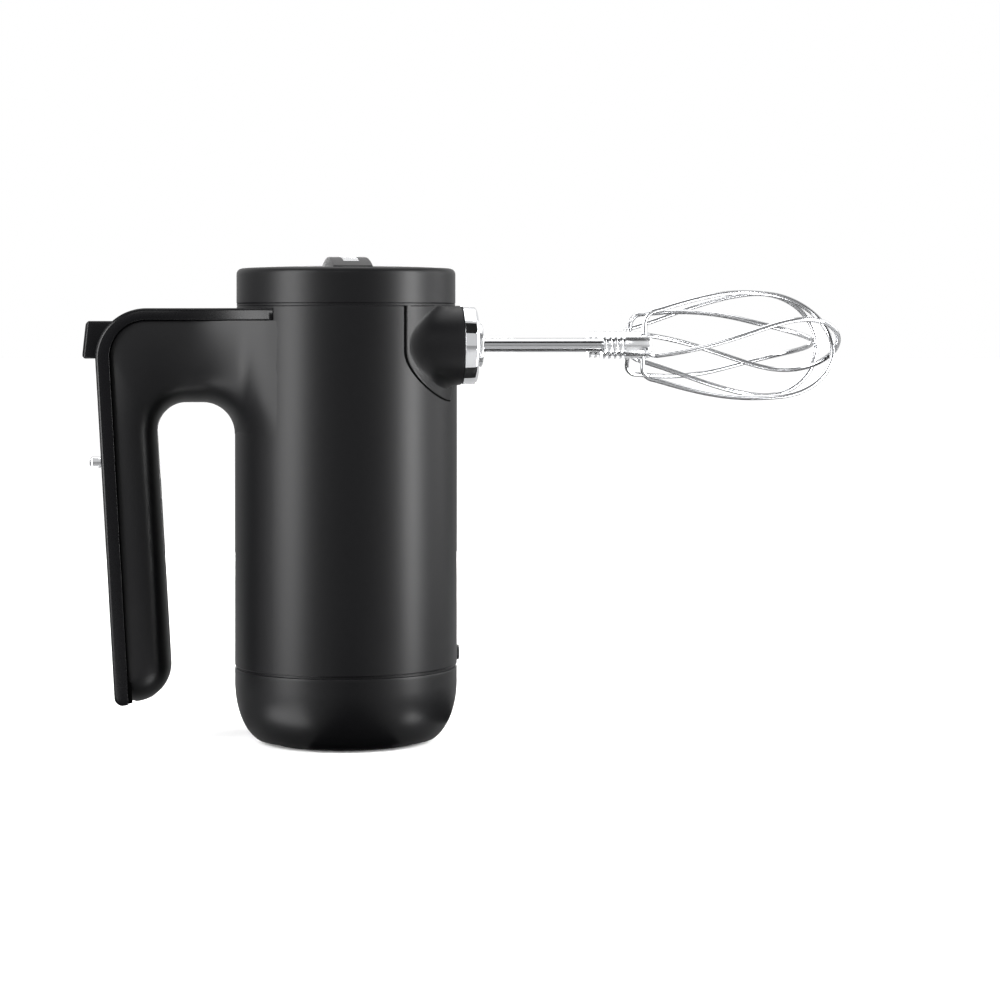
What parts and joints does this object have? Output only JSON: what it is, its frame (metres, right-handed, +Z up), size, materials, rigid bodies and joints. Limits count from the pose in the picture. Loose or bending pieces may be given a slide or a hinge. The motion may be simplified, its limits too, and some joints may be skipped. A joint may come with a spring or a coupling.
{
  "type": "cordless hand mixer",
  "caption": "Cordless hand mixer that stands on its base, with a side handle, worm-driven twin spindles and two interleaved wire beaters that eject.",
  "frame": {"origin": "centre of the base's flat underside", "axes": "+Z up, +X towards the beaters, Y across the handle"},
  "size_m": [0.3019, 0.0886, 0.1932],
  "materials": {
    "satin_black": "satin moulded",
    "gloss_black": "glossy moulded",
    "black_rubber": "matte",
    "chrome": "polished",
    "silver_trim": "satin",
    "stainless": "bright drawn",
    "steel": "machined",
    "nylon": "moulded",
    "bronze": "sintered",
    "copper": "enamelled wire",
    "ferrite": "ground",
    "laminations": "stacked sheet",
    "board": "solder mask",
    "cell_wrap": "shrink sleeve",
    "wire_red": "pvc insulation"
  },
  "bodies": {
    "casing": {"housing_left": "satin_black", "housing_right": "satin_black", "top_cap": "satin_black", "cap_bar": "satin_black", "badge_strip": "silver_trim", "base_cup": "satin_black", "base_pad": "black_rubber", "handle_strap": "gloss_black", "collar_pod": "satin_black", "collar_bezel": "chrome", "collar_boss": "silver_trim", "eject_spring": "steel", "slide_pot": "gloss_black", "control_board": "board", "motor_can": "steel", "motor_end_bell": "nylon", "motor_magnets": "ferrite", "motor_brushes": "ferrite", "motor_bushes": "bronze", "gear_frame": "nylon", "spindle_bushes": "bronze", "battery_cells": "cell_wrap", "battery_holder": "nylon", "cell_links": "steel", "charge_board": "board", "charge_socket": "gloss_black", "wiring_loom": "wire_red", "housing_screws": "steel", "motor_screws": "steel", "base_screws": "steel"},
    "rotor": {"motor_shaft": "steel", "armature_stack": "laminations", "armature_windings": "copper", "commutator": "bronze", "drive_worm": "nylon"},
    "eject": {"eject_button": "gloss_black", "eject_rod": "steel", "eject_plate": "nylon"},
    "slider": {"speed_slider": "chrome", "slider_carriage": "nylon"},
    "spindle_left": {"spindle_left": "steel", "wheel_left": "nylon", "detent_ring_left": "steel"},
    "plunger_left": {"plunger_left": "nylon"},
    "beater_left": {"beater_shaft_left": "stainless", "beater_hub_left": "stainless", "beater_loop_a_left": "stainless", "beater_loop_b_left": "stainless"},
    "spindle_right": {"spindle_right": "steel", "wheel_right": "nylon", "detent_ring_right": "steel"},
    "plunger_right": {"plunger_right": "nylon"},
    "beater_right": {"beater_shaft_right": "stainless", "beater_hub_right": "stainless", "beater_loop_a_right": "stainless", "beater_loop_b_right": "stainless"}
  },
  "joints": [
    {"name": "motor_spin", "type": "hinge", "parent": "casing", "child": "rotor", "pos_m": [0, 0, 0.1578], "axis": [0, 0, 1], "continuous": true},
    {"name": "spindle_left_spin", "type": "hinge", "parent": "casing", "child": "spindle_left", "pos_m": [0, -0.018, 0.1578], "axis": [1, 0, 0], "continuous": true},
    {"name": "plunger_left_slide", "type": "slide", "parent": "spindle_left", "child": "plunger_left", "axis": [1, 0, 0], "range_m": [0, 0.005]},
    {"name": "beater_left_pull", "type": "slide", "parent": "plunger_left", "child": "beater_left", "axis": [1, 0, 0], "range_m": [0, 0.045]},
    {"name": "spindle_right_spin", "type": "hinge", "parent": "casing", "child": "spindle_right", "pos_m": [0, 0.018, 0.1578], "axis": [1, 0, 0], "continuous": true},
    {"name": "plunger_right_slide", "type": "slide", "parent": "spindle_right", "child": "plunger_right", "axis": [1, 0, 0], "range_m": [0, 0.005]},
    {"name": "beater_right_pull", "type": "slide", "parent": "plunger_right", "child": "beater_right", "axis": [1, 0, 0], "range_m": [0, 0.045]},
    {"name": "eject_press", "type": "slide", "parent": "casing", "child": "eject", "axis": [1, 0, 0], "range_m": [0, 0.005], "stiffness_N_per_m": 900, "springref_m": -0.004, "deforming": ["eject_spring"]},
    {"name": "speed_slide", "type": "slide", "parent": "casing", "child": "slider", "axis": [-0.0558, 0, 0.9984], "range_m": [0, 0.024]}
  ],
  "couplings": [
    {"joint": "spindle_left_spin", "follows": "motor_spin", "ratio": -0.037037},
    {"joint": "plunger_left_slide", "follows": "eject_press", "ratio": 1},
    {"joint": "spindle_right_spin", "follows": "motor_spin", "ratio": 0.037037},
    {"joint": "plunger_right_slide", "follows": "eject_press", "ratio": 1}
  ]
}
